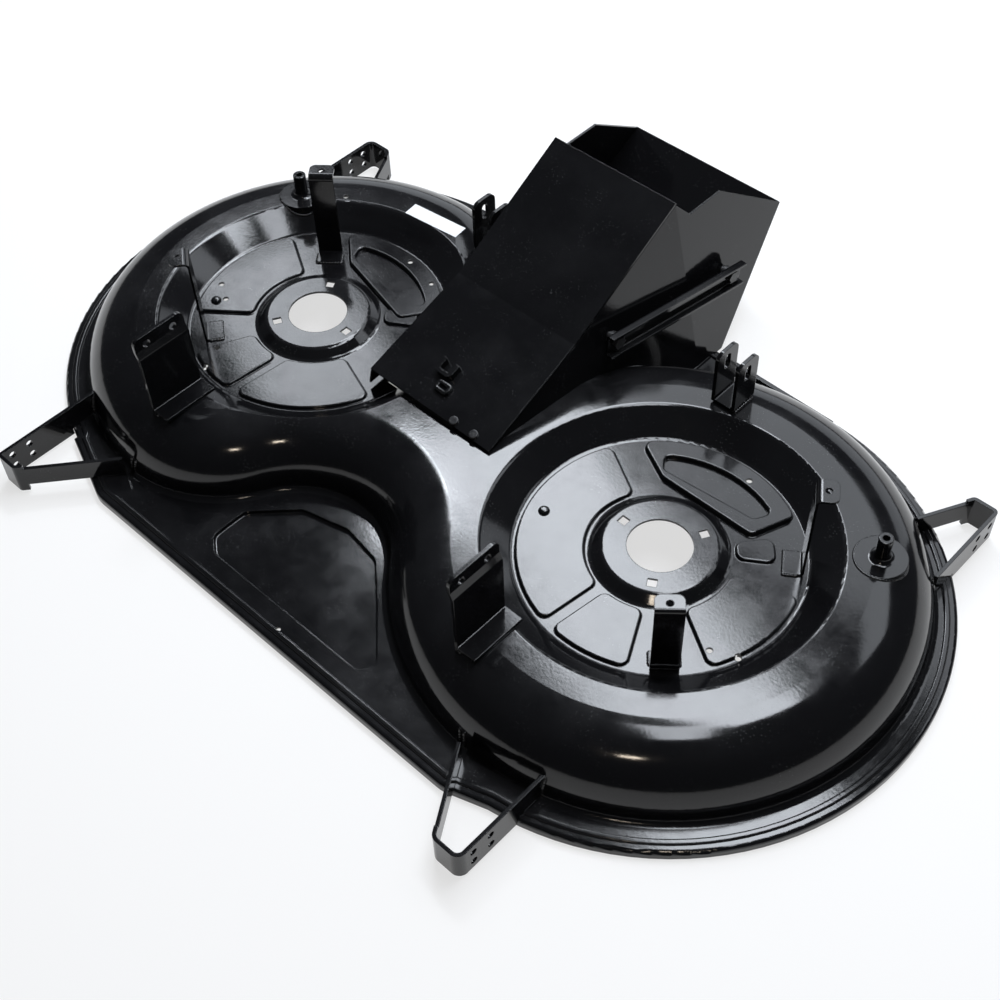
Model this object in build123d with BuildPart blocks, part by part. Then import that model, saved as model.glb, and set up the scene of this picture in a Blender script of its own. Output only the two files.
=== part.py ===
from build123d import *
from math import cos, radians, sin
import os

os.makedirs("parts", exist_ok=True)

# Sheet metal and clearances
sheet = 2.5
strap_sheet = 4.0
gap = 0.3
level_band = 0.01

# Plan of the deck
spindle_spacing = 500.0
left_wall_r = 272.0
right_wall_r = 268.0
rim_r = 300.0
front_edge_y = -315.0
front_edge_x_left = 254.0
front_edge_x_right = -266.0
front_corner_x = 352.0
front_corner_y = -282.0
front_corner_r = 40.0
left_rim_y = -4.0
right_rim_y = 4.0
waist_x = -40.0
waist_half = 136.0
right_turn_angle = 95.0

# Heights, measured up from the lower edge of the rim
flange_top = 10.5
crown_z = 80.0
seat_z = 66.0
floor_z = 57.0
shoulder_r = 66.0
foot_r = 7.0
lip_bend_r = 4.0
bead_inset = 8.0
bead_width = 6.0
bead_height = 2.2
bead_edge_r = 1.8

# Spindle seat and floor of each dome, angles from +X
spindle_hole_r = 33.2
seat_r = 58.6
seat_slope_run = 11.4
seat_bolt_circle_r = 46.8
seat_bolt_square = 9.5
left_bolt_start = 60.0
right_bolt_start = 0.0
floor_r = 148.0
pan_step_run = 30.0
pan_join_margin = 6.0
pan_bend_r = 6.5
panel_height = 3.6
panel_seat_margin = 5.0
panel_rim_margin = 5.0
panel_corner_r = 9.0
panel_edge_r = 1.8
panel_foot_r = 1.4
left_panels = ((150.0, 297.0), (328.0, 378.0))
right_panels = ((150.0, 218.0), (245.0, 340.0))
left_channel = (-2.0, -8.3)
right_channel = (26.7, -5.6)
channel_width = 12.0
seat_panel = (33.0, 49.0)
seat_panel_length = 38.0
pad_height = 6.0
pad_edge_r = 2.2
pad_rim_margin = 6.0
pad_width = 50.0
pad_inner_angles = (52.0, 128.0)
pad_outer_angles = (58.0, 137.0)
left_pad_turn = 0.0
right_pad_turn = -14.0
pocket_depth = 5.0
pocket_rim = 21.0
pocket_width = 19.0
pocket_angles = (63.0, 127.0)
pocket_corner_r = 7.0
small_hole_r = 3.2
left_small_holes = ((111.0, -62.0), (135.0, -49.0), (13.0, 127.0))
right_small_holes = (
    (16.0, 131.0),
    (61.0, 121.0),
    (-123.0, -40.0),
    (-100.0, -53.0),
    (-46.0, -111.0),
    (-34.0, -138.0),
)
crown_hole = (-111.0, 149.0)

# Front apron
apron_points = (
    (-130.0, -266.0),
    (-110.0, -281.0),
    (103.0, -281.0),
    (116.0, -264.0),
    (62.0, -212.0),
    (20.0, -174.0),
    (-30.0, -166.0),
    (-86.0, -180.0),
    (-130.0, -224.0),
)
apron_corner_r = 13.0
apron_depth = 5.0
apron_edge_r = 2.0
drain_hole = (11.0, -300.0)
drain_hole_r = 2.6

# Chute, side view of the top face as (y, z), and plan width
cover_front = (-35.0, 86.5)
cover_bend = (104.0, 130.0)
cover_rear = (262.0, 221.0)
cover_right_x = -124.0
cover_left_x = 45.0
cover_corner_x = 51.0
cover_corner_z = 83.2
cover_fold = ((-20.0, -35.0), (31.0, 42.0))
cover_lap = 2.0
duct_drop = 3.4
duct_lean = 0.24
duct_notch = (282.0, 196.0)
duct_ear = (334.0, 196.0)
duct_lip = (431.0, 130.0)
duct_heel_y = 304.0
passage_margin = 5.0
passage_front_y = -18.0
passage_rear_y = 280.0

# Strut on the left side of the chute
brace_front = (62.0, 135.0, 118.0)
brace_rear = (84.0, 335.0, 104.0)
brace_web = 28.0
brace_flange = 10.0
brace_bend_r = 4.0
brace_bolt_r = 4.0
brace_bolt_inset = 14.0
brace_bolt_reach = 24.0
brace_bolt_head_r = 7.5
brace_bolt_head = 5.0
brace_spacer_r = 7.0
brace_spacer = 7.0

# Hook and rivets of the cover
hook_place = (-48.0, 0.0)
hook_strip = 5.0
hook_width = 23.0
hook_length = 18.0
hook_height = 9.0
hook_bend_r = 6.0
rivet_places = ((-3.0, -29.0), (25.0, -29.0))
rivet_head_r = 5.2
rivet_head = 2.8
rivet_edge_r = 1.3
rivet_r = 2.4
rivet_reach = 10.0

# Wheel brackets, plan corners from the long plate round to the short arm
front_left_bracket = ((325.0, -240.0), (325.0, -364.0), (298.0, -364.0), (247.0, -280.0))
front_right_bracket = ((-367.0, -230.0), (-367.0, -364.0), (-338.0, -364.0), (-264.0, -276.0))
rear_left_bracket = ((466.0, 168.0), (466.0, 281.0), (437.0, 281.0), (406.0, 222.0))
rear_right_bracket = ((-456.0, 168.0), (-456.0, 276.0), (-427.0, 276.0), (-397.0, 218.0))
bracket_low = 3.0
bracket_high = 40.0
bracket_arm_low = 12.0
bracket_arm_high = 36.0
bracket_bend_r = 6.0
bracket_hole_r = 4.0
bracket_hole_back = 26.0
bracket_hole_z = 22.0
bracket_hole_pitch = 22.0
bracket_hole_rise = 16.0

# Belt guards: place from the spindle, heading of the face, height
guard_left_front = (93.0, -106.0, -49.0, 95.0)
guard_left_rear = (115.5, 80.5, 34.9, 112.0)
guard_right_rear = (-72.0, 86.0, 130.0, 110.0)
guard_right_front = (-78.0, -103.0, -127.2, 112.0)
guard_width = 28.0
guard_foot = 20.0
guard_tab = 19.0
guard_bend_r = 4.0
guard_corner_r = 7.0
guard_hole_out = 9.0
guard_hole_r = 3.6

# Front lift brackets
lift_left_x = 192.0
lift_right_x = -256.0
lift_y = -197.0
lift_width = 64.0
lift_height = 100.0
lift_joggle = 4.0
lift_joggle_z = 74.0
lift_joggle_rise = 9.0
lift_foot = 26.0
lift_skirt = 20.0
lift_bend_r = 5.0
lift_corner_r = 8.0
lift_hole_r = 4.5
lift_hole_spacing = 34.0
lift_hole_drop = 11.0

# Rear lift clevises: place, and how far the foot sits below the crown
clevis_left_place = (188.0, 193.0, 0.0)
clevis_right_place = (-168.0, 203.0, 4.5)
clevis_gap = 22.0
clevis_depth = 34.0
clevis_height = 66.0
clevis_bend_r = 6.0
clevis_corner_r = 10.0
clevis_slot_width = 9.0
clevis_slot_length = 20.0
clevis_slot_drop = 18.0

# Posts
post_left_place = (423.5, 121.0)
post_right_place = (-402.5, 116.0)
post_r = 7.5
post_height = 31.0
post_bore_r = 3.6
post_bore_depth = 16.0
post_pad_r = 26.0
post_pad_height = 1.8
post_pad_depth = 26.0
post_flare_r = 6.0
post_edge_r = 1.2

# Rear rails
rail_left_ends = (-146.0, 10.0)
rail_right_ends = (-508.0, -432.0)
rail_depth = 6.0
rail_height = 7.5
rail_edge_r = 1.0

# Label
label_place = (-249.0, 189.0)
label_turn = 6.0
label_length = 76.0
label_width = 19.5
label_thick = 0.3

left_x = spindle_spacing / 2
right_x = -spindle_spacing / 2

# Rings of a dome floor, from the seat out to the crown
seat_foot_r = seat_r + seat_slope_run
panel_inner_r = seat_foot_r + panel_seat_margin
seat_panel_outer_r = panel_inner_r + seat_panel_length
panel_outer_r = floor_r - panel_rim_margin
pad_outer_r = floor_r - pad_rim_margin
pad_inner_r = pad_outer_r - pad_width
pocket_outer_r = pad_outer_r - pocket_rim
pocket_inner_r = pocket_outer_r - pocket_width
crown_inner_r = floor_r + pan_step_run
pan_join_r = crown_inner_r + pan_join_margin
pan_lap = pan_join_margin / 2


def mirrored(point):
    """The same point on the other side of the XZ plane."""
    return Vector(point.X, -point.Y)


def dome_outline(grow):
    """Closed outline of the raised part of the shell, made of tangent arcs, on the XY plane."""
    near = Vector(left_x, 0)
    far = Vector(right_x, 0)
    waist_run = waist_x - left_x
    waist_r = (waist_run**2 + waist_half**2 - left_wall_r**2) / (2 * (left_wall_r - waist_half))
    waist = Vector(waist_x, -waist_half - waist_r)
    turn = Vector(cos(radians(right_turn_angle)), -sin(radians(right_turn_angle)))
    reach = far - waist + turn * right_wall_r
    corner_r = (reach.dot(reach) - waist_r**2) / (2 * (reach.dot(turn) + waist_r))
    corner = far + turn * (right_wall_r - corner_r)
    a = near + (waist - near).normalized() * left_wall_r
    b = corner + (waist - corner).normalized() * corner_r
    c = far + turn * right_wall_r
    mid_waist = Vector(waist_x, -waist_half)
    mid_corner = corner + ((b - corner) + (c - corner)).normalized() * corner_r
    with BuildSketch() as outline:
        with BuildLine():
            ThreePointArc(a, mid_waist, b)
            ThreePointArc(b, mid_corner, c)
            ThreePointArc(c, far - Vector(right_wall_r, 0), mirrored(c))
            ThreePointArc(mirrored(c), mirrored(mid_corner), mirrored(b))
            ThreePointArc(mirrored(b), mirrored(mid_waist), mirrored(a))
            ThreePointArc(mirrored(a), near + Vector(left_wall_r, 0), a)
        make_face()
        if grow:
            offset(amount=grow)
    return outline.sketch


def rim_outline(grow):
    """Closed outline of the rim on the XY plane."""
    with BuildSketch() as outline:
        with Locations((left_x, left_rim_y), (right_x, right_rim_y)):
            Circle(rim_r)
        with BuildLine():
            Polyline(
                (-front_corner_x, 0),
                (-front_corner_x, front_corner_y),
                (front_edge_x_right, front_edge_y),
                (front_edge_x_left, front_edge_y),
                (front_corner_x, front_corner_y),
                (front_corner_x, 0),
                (left_x, 0),
                (left_x, left_rim_y + rim_r),
                (right_x, right_rim_y + rim_r),
                (right_x, 0),
                close=True,
            )
        make_face()
        fillet(outline.vertices().sort_by(Axis.Y)[:2], front_corner_r)
        if grow:
            offset(amount=grow)
    return outline.sketch


def dome_body(grow, base_z):
    """Solid of the two domes with their rounded shoulder, from base_z up."""
    with BuildPart() as body:
        with BuildSketch(Plane.XY.offset(base_z)):
            add(dome_outline(grow))
        extrude(amount=crown_z + grow - base_z)
        fillet(body.edges().group_by(Axis.Z)[-1], shoulder_r + grow)
    return body.part


def flat_at(part, z, way=1):
    """Level flat faces of a part at one height that look up, or down where way is -1."""
    flat = part.faces().filter_by(GeomType.PLANE)
    level = flat.filter_by_position(Axis.Z, z - level_band, z + level_band)
    return level.filter_by(lambda face: face.normal_at().Z * way > 0)


def sector(inner_r, outer_r, start, end):
    """Ring sector with sharp corners on the XY plane."""
    inner = [Vector(inner_r, 0).rotate(Axis.Z, angle) for angle in (start, end)]
    outer = [Vector(outer_r, 0).rotate(Axis.Z, angle) for angle in (start, end)]
    with BuildSketch() as shape:
        with BuildLine():
            CenterArc((0, 0), outer_r, start, end - start)
            CenterArc((0, 0), inner_r, start, end - start)
            Line(inner[0], outer[0])
            Line(inner[1], outer[1])
        make_face()
    return shape.sketch


def chord_sector(inner_r, outer_r, inner_angles, outer_angles, corner_r):
    """Shape between a straight chord and an arc about the Z axis, with rounded corners."""
    inner = [Vector(inner_r, 0).rotate(Axis.Z, angle) for angle in inner_angles]
    outer = [Vector(outer_r, 0).rotate(Axis.Z, angle) for angle in outer_angles]
    with BuildSketch() as shape:
        with BuildLine():
            CenterArc((0, 0), outer_r, outer_angles[0], outer_angles[1] - outer_angles[0])
            Polyline(outer[1], inner[1], inner[0], outer[0])
        make_face()
        fillet(shape.vertices(), corner_r)
    return shape.sketch


def panel_outline(panels, channel, grow):
    """Raised panels of one dome floor, cut by its straight channel, with rounded corners."""
    channel_x, channel_turn = channel
    with BuildSketch() as outline:
        for start, end in panels:
            add(sector(panel_inner_r, panel_outer_r, start, end))
        with Locations(Location((channel_x, 0), channel_turn)):
            Rectangle(channel_width, 2 * floor_r, align=(Align.CENTER, Align.MAX), mode=Mode.SUBTRACT)
        add(sector(panel_inner_r, seat_panel_outer_r, *seat_panel))
        fillet(outline.vertices(), panel_corner_r)
        if grow:
            offset(amount=grow)
    return outline.sketch


def pad_outline(turn, grow):
    """Raised crescent pad of one dome floor, turned about its spindle."""
    with BuildSketch() as outline:
        with Locations(Location((0, 0), turn)):
            add(chord_sector(pad_inner_r, pad_outer_r, pad_inner_angles, pad_outer_angles, panel_corner_r))
        if grow:
            offset(amount=grow)
    return outline.sketch


def pocket_outline(turn, grow):
    """Pocket sunk in the crescent pad."""
    with BuildSketch() as outline:
        with Locations(Location((0, 0), turn)):
            add(chord_sector(pocket_inner_r, pocket_outer_r, pocket_angles, pocket_angles, pocket_corner_r))
        if grow:
            offset(amount=grow)
    return outline.sketch


def pan_form(panels, channel, pad_turn, holes, bolt_start):
    """Pressed floor of one dome round its spindle seat, centred on the Z axis."""
    path = (
        (spindle_hole_r, seat_z),
        (seat_r, seat_z),
        (seat_foot_r, floor_z),
        (floor_r, floor_z),
        (crown_inner_r, crown_z),
        (pan_join_r, crown_z),
    )
    pad_top = floor_z + pad_height
    with BuildPart() as pan:
        with BuildSketch(Plane.XZ):
            with BuildLine():
                FilletPolyline(*path, radius=pan_bend_r)
                offset(amount=sheet, side=Side.RIGHT)
            make_face()
        revolve(axis=Axis.Z)
        # Raised areas keep the sheet thickness: built up on top, pressed out below
        with BuildSketch(Plane.XY.offset(floor_z - sheet / 2)):
            add(panel_outline(panels, channel, 0))
        extrude(amount=panel_height + sheet / 2)
        fillet(flat_at(pan, floor_z + panel_height).edges(), panel_edge_r)
        with BuildSketch(Plane.XY.offset(floor_z - sheet)):
            add(panel_outline(panels, channel, -sheet))
        extrude(amount=panel_height, mode=Mode.SUBTRACT)
        with BuildSketch(Plane.XY.offset(floor_z - sheet / 2)):
            add(pad_outline(pad_turn, 0))
        extrude(amount=pad_height + sheet / 2)
        with BuildSketch(Plane.XY.offset(pad_top - pocket_depth)):
            add(pocket_outline(pad_turn, 0))
        extrude(amount=pocket_depth, mode=Mode.SUBTRACT)
        fillet(flat_at(pan, pad_top).edges(), pad_edge_r)
        fillet(flat_at(pan, floor_z).edges().filter_by(GeomType.LINE), panel_foot_r)
        with BuildSketch(Plane.XY.offset(floor_z - sheet)):
            add(pad_outline(pad_turn, -sheet))
            add(pocket_outline(pad_turn, sheet), mode=Mode.SUBTRACT)
        extrude(amount=pad_height, mode=Mode.SUBTRACT)
        with BuildSketch():
            with PolarLocations(seat_bolt_circle_r, 3, start_angle=bolt_start):
                Rectangle(seat_bolt_square, seat_bolt_square)
            with Locations(*holes):
                Circle(small_hole_r)
        extrude(amount=crown_z, mode=Mode.SUBTRACT)
    return pan.part


def pan_room():
    """Room for one pressed floor, cut from the domes so that the two sheets lap, centred on the Z axis."""
    with BuildPart() as room:
        with BuildSketch(Plane.XZ):
            with BuildLine():
                Polyline(
                    (0, floor_z),
                    (floor_r + pan_lap, floor_z),
                    (crown_inner_r + pan_lap, crown_z),
                    (crown_inner_r + pan_lap, crown_z + sheet),
                    (0, crown_z + sheet),
                    close=True,
                )
            make_face()
        revolve(axis=Axis.Z)
    return room.part


def clear_room():
    """Room above one pressed floor with its clearance, centred on the Z axis."""
    with BuildPart() as room:
        with BuildSketch(Plane.XZ):
            with BuildLine():
                Polyline(
                    (0, seat_z + gap),
                    (seat_foot_r + gap, seat_z + gap),
                    (seat_foot_r + gap, floor_z + pad_height + gap),
                    (floor_r - gap, floor_z + pad_height + gap),
                    (crown_inner_r - gap, crown_z + gap),
                    (crown_inner_r - gap, crown_z + sheet),
                    (0, crown_z + sheet),
                    close=True,
                )
            make_face()
        revolve(axis=Axis.Z)
    return room.part


def clear_form():
    """What the shell fills or covers, grown by the clearance, to trim the pieces that stand on it."""
    with BuildPart() as form:
        with BuildSketch():
            add(rim_outline(gap))
        extrude(amount=flange_top + gap)
        with BuildSketch():
            add(rim_outline(gap - bead_inset))
        extrude(amount=flange_top + bead_height + gap)
        add(dome_body(gap, 0))
        fillet(flat_at(form, flange_top + bead_height + gap).face().inner_wires().edges(), foot_r)
        with Locations((left_x, 0, 0), (right_x, 0, 0)):
            add(clear_room(), mode=Mode.SUBTRACT)
    return form.part


def plate_plane(corners):
    """Plane of a flat outline in space, its normal set by the turn of the corners."""
    first, second = Vector(*corners[0]), Vector(*corners[1])
    spokes = [Vector(*corner) - first for corner in corners[1:]]
    normal = Vector(0, 0, 0)
    for one, other in zip(spokes, spokes[1:]):
        normal += one.cross(other)
    return Plane(origin=first, x_dir=second - first, z_dir=normal)


def flat_plate(corners, thick):
    """Flat plate with the given corners in space, thickened along the normal of its outline."""
    plane = plate_plane(corners)
    flat = [plane.to_local_coords(Vector(*corner)) for corner in corners]
    with BuildPart() as plate:
        with BuildSketch(plane):
            with BuildLine():
                Polyline(*[(point.X, point.Y) for point in flat], close=True)
            make_face()
        extrude(amount=thick)
    return plate.part


def strip_section(plane, corners, bend_r, thick, side):
    """Section of a bent strip on a plane: a path with rounded bends, thickened to one side."""
    with BuildSketch(plane) as section:
        with BuildLine():
            FilletPolyline(*corners, radius=bend_r)
            offset(amount=thick, side=side)
        make_face()
    return section.sketch


def upright_plane(x, y, z, heading=0.0):
    """Standing plane at a point: local x follows the heading, local y points up."""
    turn = radians(heading)
    return Plane(origin=(x, y, z), x_dir=(cos(turn), sin(turn), 0), z_dir=(sin(turn), -cos(turn), 0))


def between(start, end, y):
    """Height at y on the straight line between two (y, z) points."""
    return start[1] + (end[1] - start[1]) * (y - start[0]) / (end[0] - start[0])


def cover_top(y):
    """Height of the top face of the chute cover at y."""
    if y <= cover_bend[0]:
        return between(cover_front, cover_bend, y)
    return between(cover_bend, cover_rear, y)


def duct_point(side, y, z, crest, inset=0.0):
    """Point on a leaning side wall of the chute: side 1 is left and -1 right, crest is the wall's top."""
    edge = cover_left_x if side > 0 else cover_right_x
    return (edge + side * (duct_lean * (crest - z) - inset), y, z)


def duct_wall(side, start, end, lap):
    """Flat panel of a side wall under the cover from start to end, lapped past its end."""
    end_y = end[0] + lap
    start_crest = start[1] - duct_drop
    end_crest = between(start, end, end_y) - duct_drop
    corners = (
        duct_point(side, start[0], start_crest, start_crest),
        duct_point(side, end_y, end_crest, end_crest),
        duct_point(side, end_y, duct_foot_z, end_crest),
        duct_point(side, start[0], duct_foot_z, start_crest),
    )
    return flat_plate(corners, side * sheet)


def wheel_bracket(corners):
    """Bent strip bracket: long plate with holes, short web and a narrower arm."""
    plate, corner, web, arm = (Vector(*place) for place in corners)
    along = (corner - plate).normalized()
    face = Plane(origin=corner, x_dir=along * -1, z_dir=Vector(0, 0, 1).cross(along))
    arm_plane = Plane(origin=(web + arm) * 0.5, x_dir=arm - web, z_dir=(0, 0, 1))
    with BuildPart() as bracket:
        strip = strip_section(Plane.XY.offset(bracket_low), corners, bracket_bend_r, strap_sheet, Side.LEFT)
        extrude(strip, amount=bracket_high - bracket_low)
        # The arm is narrower than the strip: trimmed above and below
        for trim_low, trim_high in ((0, bracket_arm_low), (bracket_arm_high, 2 * bracket_high)):
            with BuildSketch(arm_plane.offset(trim_low)):
                with Locations((bracket_bend_r + strap_sheet, 0)):
                    Rectangle((arm - web).length, 4 * strap_sheet)
            extrude(amount=trim_high - trim_low, mode=Mode.SUBTRACT)
        with BuildSketch(face):
            with Locations((bracket_hole_back, bracket_hole_z)):
                with GridLocations(bracket_hole_pitch, bracket_hole_rise, 2, 2):
                    Circle(bracket_hole_r)
        extrude(amount=2 * strap_sheet, both=True, mode=Mode.SUBTRACT)
        add(shell_clear, mode=Mode.SUBTRACT)
    return bracket.part


def belt_guard(spindle_x, place, tab_way):
    """Upright strap with a foot on the floor of a dome and a tab with a hole at the top."""
    x, y, heading, height = place
    section = upright_plane(spindle_x + x, y, floor_z, heading)
    tab_plane = Plane(origin=section.origin, x_dir=section.x_dir, z_dir=(0, 0, 1)).offset(height)
    path = ((-guard_foot, 0), (0, 0), (0, height), (tab_way * guard_tab, height))
    with BuildPart() as guard:
        strip = strip_section(section, path, guard_bend_r, sheet, Side.LEFT)
        extrude(strip, amount=guard_width / 2, both=True)
        fillet(guard.edges().filter_by(Axis.Z).group_by(Axis.Z)[-1], guard_corner_r)
        with BuildSketch(tab_plane):
            with Locations((tab_way * guard_hole_out, 0)):
                Circle(guard_hole_r)
        extrude(amount=2 * sheet, both=True, mode=Mode.SUBTRACT)
    return guard.part


def lift_bracket(x):
    """Upright lift plate with a joggle near the top, a foot on the crown and a skirt down the shoulder."""
    section = upright_plane(x, lift_y, crown_z + gap)
    path = (
        (lift_foot, 0),
        (0, 0),
        (0, lift_joggle_z),
        (-lift_joggle, lift_joggle_z + lift_joggle_rise),
        (-lift_joggle, lift_height),
    )
    with BuildPart() as bracket:
        strip = strip_section(section, path, lift_bend_r, strap_sheet, Side.RIGHT)
        extrude(strip, amount=lift_width / 2, both=True)
        with BuildSketch(section):
            with Locations((0, -lift_skirt)):
                Rectangle(strap_sheet, lift_skirt + 2 * lift_bend_r, align=(Align.MIN, Align.MIN))
        extrude(amount=lift_width / 2, both=True)
        fillet(bracket.edges().filter_by(Axis.X).group_by(Axis.Z)[-1], lift_corner_r)
        with BuildSketch(Plane.YZ.offset(x)):
            with Locations((lift_y, crown_z + lift_height - lift_hole_drop)):
                with GridLocations(lift_hole_spacing, 0, 2, 1):
                    Circle(lift_hole_r)
        extrude(amount=lift_foot / 2, both=True, mode=Mode.SUBTRACT)
        add(shell_clear, mode=Mode.SUBTRACT)
    return bracket.part


def lift_clevis(place):
    """U-shaped lift point with a slot across both ears, its foot on the crown."""
    x, y, drop = place
    foot_z = crown_z + gap - drop
    half = clevis_gap / 2 + strap_sheet
    section = upright_plane(x, y, foot_z)
    path = ((-half, clevis_height), (-half, 0), (half, 0), (half, clevis_height))
    with BuildPart() as clevis:
        strip = strip_section(section, path, clevis_bend_r, strap_sheet, Side.LEFT)
        extrude(strip, amount=clevis_depth / 2, both=True)
        fillet(clevis.edges().filter_by(Axis.X).group_by(Axis.Z)[-1], clevis_corner_r)
        with BuildSketch(Plane.YZ.offset(x)):
            with Locations((y, foot_z + clevis_height - clevis_slot_drop)):
                SlotOverall(clevis_slot_length, clevis_slot_width, rotation=90)
        extrude(amount=clevis_gap, both=True, mode=Mode.SUBTRACT)
        add(shell_clear, mode=Mode.SUBTRACT)
    return clevis.part


def round_post(place):
    """Short bored post with a flared foot on a round pad, fitted to the dome below it."""
    x, y = place
    top = crown_z + post_height
    pad_top = crown_z + post_pad_height
    with BuildPart() as post:
        with BuildSketch(upright_plane(x, y, 0)) as section:
            with BuildLine():
                Polyline(
                    (0, crown_z - post_pad_depth),
                    (post_pad_r, crown_z - post_pad_depth),
                    (post_pad_r, pad_top),
                    (post_r, pad_top),
                    (post_r, top),
                    (0, top),
                    close=True,
                )
            make_face()
            fillet(section.vertices().group_by(Axis.Y)[1].sort_by(Axis.X)[0], post_flare_r)
            fillet(section.vertices().group_by(Axis.Y)[-1].sort_by(Axis.X)[-1], post_edge_r)
        revolve(axis=Axis((x, y, 0), (0, 0, 1)))
        with BuildSketch(Plane.XY.offset(top)):
            with Locations(place):
                Circle(post_bore_r)
        extrude(amount=-post_bore_depth, mode=Mode.SUBTRACT)
        add(shell_clear, mode=Mode.SUBTRACT)
    return post.part


def rear_rail(ends):
    """Square strip on the bead of the rear edge, its ends counted along the edge from the left spindle."""
    start = Vector(left_x, left_rim_y + rim_r, flange_top + bead_height)
    along = Vector(left_x - right_x, left_rim_y - right_rim_y, 0)
    with BuildPart() as rail:
        with BuildSketch(Plane(origin=start, x_dir=along, z_dir=(0, 0, 1))):
            with Locations(((ends[0] + ends[1]) / 2, -bead_inset - bead_width / 2)):
                Rectangle(ends[1] - ends[0], rail_depth)
        extrude(amount=rail_height)
        fillet(rail.faces().sort_by(Axis.Z)[-1].edges().sort_by(SortBy.LENGTH)[-2:], rail_edge_r)
    return rail.part


shell_clear = clear_form()

# Corners of the chute cover on its top face
cover_right_front = (cover_right_x, *cover_front)
cover_right_bend = (cover_right_x, *cover_bend)
cover_right_rear = (cover_right_x, *cover_rear)
cover_left_bend = (cover_left_x, *cover_bend)
cover_left_rear = (cover_left_x, *cover_rear)
cover_left_front = (cover_corner_x, cover_front[0], cover_corner_z)
fold_start, fold_mid = ((x, y, cover_top(y)) for x, y in cover_fold)
facet_plane = plate_plane((fold_start, cover_left_front, fold_mid))
plate_top_plane = plate_plane((cover_right_front, fold_start, fold_mid, cover_right_bend))
rivet_marks = [facet_plane.to_local_coords(Vector(x, y, cover_corner_z)) for x, y in rivet_places]
rivet_marks = [(mark.X, mark.Y) for mark in rivet_marks]

# Section of the strut and the axes of its bolts
brace_along = (Vector(*brace_rear) - Vector(*brace_front)).normalized()
brace_out = brace_along.cross(Vector(0, 0, 1)).normalized()
brace_length = (Vector(*brace_rear) - Vector(*brace_front)).length
brace_section = Plane(origin=brace_front, x_dir=brace_out, z_dir=brace_along)
brace_face = Plane(origin=brace_front, x_dir=brace_along, z_dir=brace_out)
brace_bolt_marks = ((brace_bolt_inset, 0), (brace_length - brace_bolt_inset, 0))

# Foot of the chute on the flange
duct_foot_z = flange_top + gap
duct_heel = (duct_heel_y, duct_foot_z)


# Pressed floors, trimmed where the shoulder of the domes is lower than the crown
with BuildPart() as pans:
    with Locations((left_x, 0, 0)):
        add(pan_form(left_panels, left_channel, left_pad_turn, left_small_holes, left_bolt_start))
    with Locations((right_x, 0, 0)):
        add(pan_form(right_panels, right_channel, right_pad_turn, right_small_holes, right_bolt_start))
    add(dome_body(0, 0), mode=Mode.INTERSECT)

with BuildPart() as deck_shell:
    # Flange and the outer form of the domes, with the bends between them
    with BuildSketch():
        add(rim_outline(0))
    extrude(amount=flange_top)
    add(dome_body(0, 0))
    fillet(flat_at(deck_shell, flange_top).face().inner_wires().edges(), foot_r)
    fillet(flat_at(deck_shell, flange_top).face().outer_wire().edges(), lip_bend_r)
    # Hollow inside the turned-down lip and up into the domes
    with BuildSketch():
        add(rim_outline(-sheet))
    extrude(amount=flange_top - sheet, mode=Mode.SUBTRACT)
    add(dome_body(-sheet, 0), mode=Mode.SUBTRACT)
    fillet(flat_at(deck_shell, flange_top - sheet, -1).face().inner_wires().edges(), foot_r + sheet)
    # Stiffening bead that follows the rim
    with BuildSketch(Plane.XY.offset(flange_top - sheet / 2)):
        add(rim_outline(-bead_inset))
        add(rim_outline(-bead_inset - bead_width), mode=Mode.SUBTRACT)
    extrude(amount=sheet / 2 + bead_height)
    fillet(flat_at(deck_shell, flange_top + bead_height).edges(), bead_edge_r)
    # Recessed panel of the front apron
    with BuildSketch(Plane.XY.offset(flange_top - sheet - apron_depth)) as apron:
        with BuildLine():
            Polyline(*apron_points, close=True)
        make_face()
        fillet(apron.vertices(), apron_corner_r)
        offset(amount=sheet)
    extrude(amount=apron_depth + sheet / 2)
    with BuildSketch(Plane.XY.offset(flange_top - apron_depth)) as apron_cut:
        with BuildLine():
            Polyline(*apron_points, close=True)
        make_face()
        fillet(apron_cut.vertices(), apron_corner_r)
    extrude(amount=apron_depth + bead_height, mode=Mode.SUBTRACT)
    fillet(flat_at(deck_shell, flange_top - apron_depth).edges(), apron_edge_r)
    with BuildSketch():
        with Locations(drain_hole):
            Circle(drain_hole_r)
    extrude(amount=flange_top + bead_height, mode=Mode.SUBTRACT)
    # The two pressed floors in their room
    with Locations((left_x, 0, 0), (right_x, 0, 0)):
        add(pan_room(), mode=Mode.SUBTRACT)
    add(pans.part)
    with BuildSketch(Plane.XY.offset(floor_z)):
        with Locations((right_x + crown_hole[0], crown_hole[1])):
            Circle(small_hole_r)
    extrude(amount=crown_z, mode=Mode.SUBTRACT)
    # Passage from the blade chamber up into the chute
    with BuildSketch(Plane.XY.offset(flange_top)):
        with BuildLine():
            Polyline(
                (cover_right_x + passage_margin, passage_front_y),
                (cover_left_x - passage_margin, passage_front_y),
                (cover_left_x - passage_margin, passage_rear_y),
                (cover_right_x + passage_margin, passage_rear_y),
                close=True,
            )
        make_face()
    extrude(amount=crown_z, mode=Mode.SUBTRACT)
    # Holes for the rivets of the cover
    with BuildSketch(facet_plane):
        with Locations(*rivet_marks):
            Circle(rivet_r + gap)
    extrude(amount=-2 * rivet_reach, mode=Mode.SUBTRACT)
deck_shell.part.label = "deck_shell"
export_step(deck_shell.part, "parts/deck_shell.step")

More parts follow.
